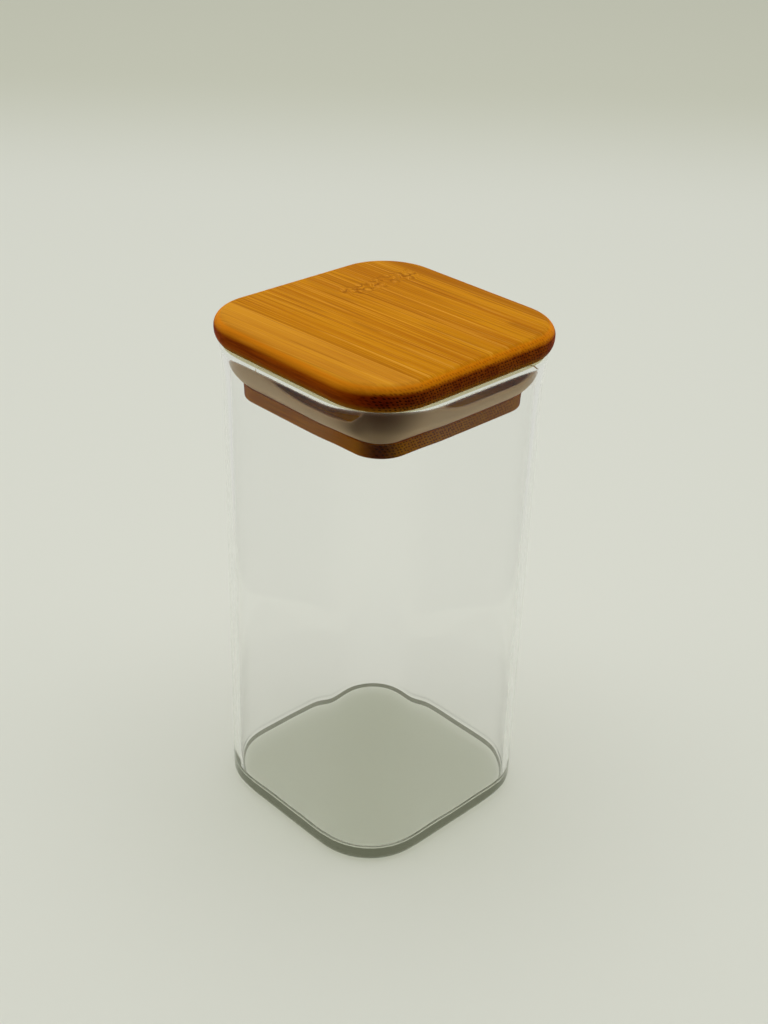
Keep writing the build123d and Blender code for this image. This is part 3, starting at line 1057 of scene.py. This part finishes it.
def add_floor(stage):
    """A sheet of paper that widens to the back."""
    away = backwards(stage)
    aside = Vector((away.y, -away.x, 0))
    drop = Vector((0, 0, stage.floor_gap))
    front = (-stage.sheet_front, stage.front_width, (-1, 1))
    back = (stage.sheet_back, stage.back_width, (1, -1))
    corners = []
    for reach, width, sides in (front, back):
        for side in sides:
            corners.append(away * reach + aside * side * width / 2 - drop)
    mesh = bpy.data.meshes.new("stage_floor")
    mesh.from_pydata(corners, [], [(0, 1, 2, 3)])
    mesh.materials.append(paper_material(stage))
    floor = bpy.data.objects.new("stage_floor", mesh)
    bpy.context.scene.collection.objects.link(floor)


def add_world(stage):
    """Even surroundings, with less light from in front and from the table that the paper lies on. What
    shows straight through the glass is the plain colour. What its near walls mirror from beside and before
    the jar is darker.
    """
    graph = Graph(bpy.data.worlds.new("stage_world"))
    place = graph.add("ShaderNodeTexCoord").outputs["Generated"]
    far = behind(graph, place, stage)
    front = graph.step(far, *FRONT_FADE, stage.front_share, 1.0)
    table = graph.step(graph.split(place)[2], *TABLE_FADE, stage.table_share, 1.0)
    level = graph.math("MULTIPLY", front, table)
    strength = graph.math("MULTIPLY", level, stage.world_strength)
    soft = graph.add("ShaderNodeBackground", {"Color": opaque(stage.world), "Strength": strength})
    path = graph.add("ShaderNodeLightPath").outputs
    outer, inner = (graph.math("COMPARE", path["Ray Depth"], depth, 0.5) for depth in MIRRORED_DEPTHS)
    loss = graph.step(far, *MIRROR_FADE, 1 - stage.mirror_share, 0.0)
    loss = graph.math("MULTIPLY", graph.math("MAXIMUM", outer, inner), loss)
    seen = graph.math("MAXIMUM", path["Is Glossy Ray"], path["Is Transmission Ray"])
    seen = graph.math("MAXIMUM", path["Is Camera Ray"], seen)
    seen = graph.math("MULTIPLY", seen, graph.math("SUBTRACT", 1.0, loss))
    strength = graph.math("MAXIMUM", seen, graph.math("POWER", level, GLOOM))
    plain = graph.add("ShaderNodeBackground", {"Color": opaque(stage.backdrop), "Strength": strength})
    matt = graph.math("MAXIMUM", path["Is Diffuse Ray"], path["Is Shadow Ray"])
    both = graph.add("ShaderNodeMixShader", {0: matt, 1: plain.outputs[0], 2: soft.outputs[0]})
    bpy.context.scene.world = graph.finish(both.outputs[0], "ShaderNodeOutputWorld")


def add_lamp(stage):
    """One wide soft lamp overhead."""
    lamp = bpy.data.lights.new("stage_lamp", "AREA")
    lamp.shape = "SQUARE"
    lamp.size = stage.lamp_size
    lamp.energy = stage.lamp_power
    holder = bpy.data.objects.new("stage_lamp", lamp)
    turn = stage.azimuth
    reach = stage.lamp_behind
    holder.location = (-math.sin(turn) * reach, math.cos(turn) * reach, stage.lamp_height)
    bpy.context.scene.collection.objects.link(holder)


def add_camera(stage):
    """The camera at the photograph's viewing angle."""
    turn = stage.azimuth
    tilt = stage.elevation
    back = Vector((math.sin(turn) * math.cos(tilt), -math.cos(turn) * math.cos(tilt), math.sin(tilt)))
    right = Vector((math.cos(turn), math.sin(turn), 0))
    up = back.cross(right)
    across = right * math.cos(stage.roll) + up * math.sin(stage.roll)
    upward = up * math.cos(stage.roll) - right * math.sin(stage.roll)
    camera = bpy.data.cameras.new("stage_camera")
    camera.sensor_fit = "VERTICAL"
    camera.sensor_height = SENSOR_HEIGHT
    camera.lens = stage.lens
    camera.clip_start = 0.01
    holder = bpy.data.objects.new("stage_camera", camera)
    place = Vector(stage.aim) + right * stage.aside + back * stage.distance
    axes = Matrix((across, upward, back)).transposed().to_4x4()
    holder.matrix_world = Matrix.Translation(place) @ axes
    bpy.context.scene.collection.objects.link(holder)
    bpy.context.scene.camera = holder


class SPICEJAR_OT_stage(bpy.types.Operator):
    """Set up the pale floor, the soft lights and the camera"""

    bl_idname = "spicejar.stage"
    bl_label = "Stage"

    def execute(self, context):
        stage = context.scene.spicejar_stage
        context.scene.view_settings.view_transform = "Standard"
        add_floor(stage)
        add_world(stage)
        add_lamp(stage)
        add_camera(stage)
        return {"FINISHED"}


class SPICEJAR_PT_panel(bpy.types.Panel):
    """The sizes and colours of the jar, and a button for each piece"""

    bl_idname = "SPICEJAR_PT_panel"
    bl_label = "Spice Jar"
    bl_space_type = "VIEW_3D"
    bl_region_type = "UI"
    bl_category = "Spice Jar"

    def draw(self, context):
        for group, *operators in GROUPS:
            settings = getattr(context.scene, group)
            box = self.layout.box()
            for key in PROPERTY_GROUPS[group].__annotations__:
                box.prop(settings, key)
            for operator in operators:
                box.operator(operator)


GROUPS = (
    ("spicejar_stage", "spicejar.stage"),
    ("spicejar_glass", "spicejar.glass"),
    ("spicejar_bamboo", "spicejar.cap", "spicejar.plug"),
    ("spicejar_silicone", "spicejar.seal"),
)
PROPERTY_GROUPS = {
    "spicejar_stage": SpiceJarStage,
    "spicejar_glass": SpiceJarGlass,
    "spicejar_bamboo": SpiceJarBamboo,
    "spicejar_silicone": SpiceJarSilicone,
}
CLASSES = (
    *PROPERTY_GROUPS.values(),
    SPICEJAR_OT_stage,
    SPICEJAR_OT_glass,
    SPICEJAR_OT_cap,
    SPICEJAR_OT_plug,
    SPICEJAR_OT_seal,
    SPICEJAR_PT_panel,
)


def register():
    """Add the operators, the panel and the scene's settings."""
    for cls in CLASSES:
        bpy.utils.register_class(cls)
    for name, group in PROPERTY_GROUPS.items():
        setattr(bpy.types.Scene, name, bpy.props.PointerProperty(type=group))


def unregister():
    """Take the settings, the panel and the operators away again."""
    for name in PROPERTY_GROUPS:
        delattr(bpy.types.Scene, name)
    for cls in reversed(CLASSES):
        bpy.utils.unregister_class(cls)


def main():
    """Build the stage and every piece."""
    register()
    bpy.ops.spicejar.stage()
    bpy.ops.spicejar.glass()
    bpy.ops.spicejar.cap()
    bpy.ops.spicejar.plug()
    bpy.ops.spicejar.seal()


if __name__ == "__main__":
    main()
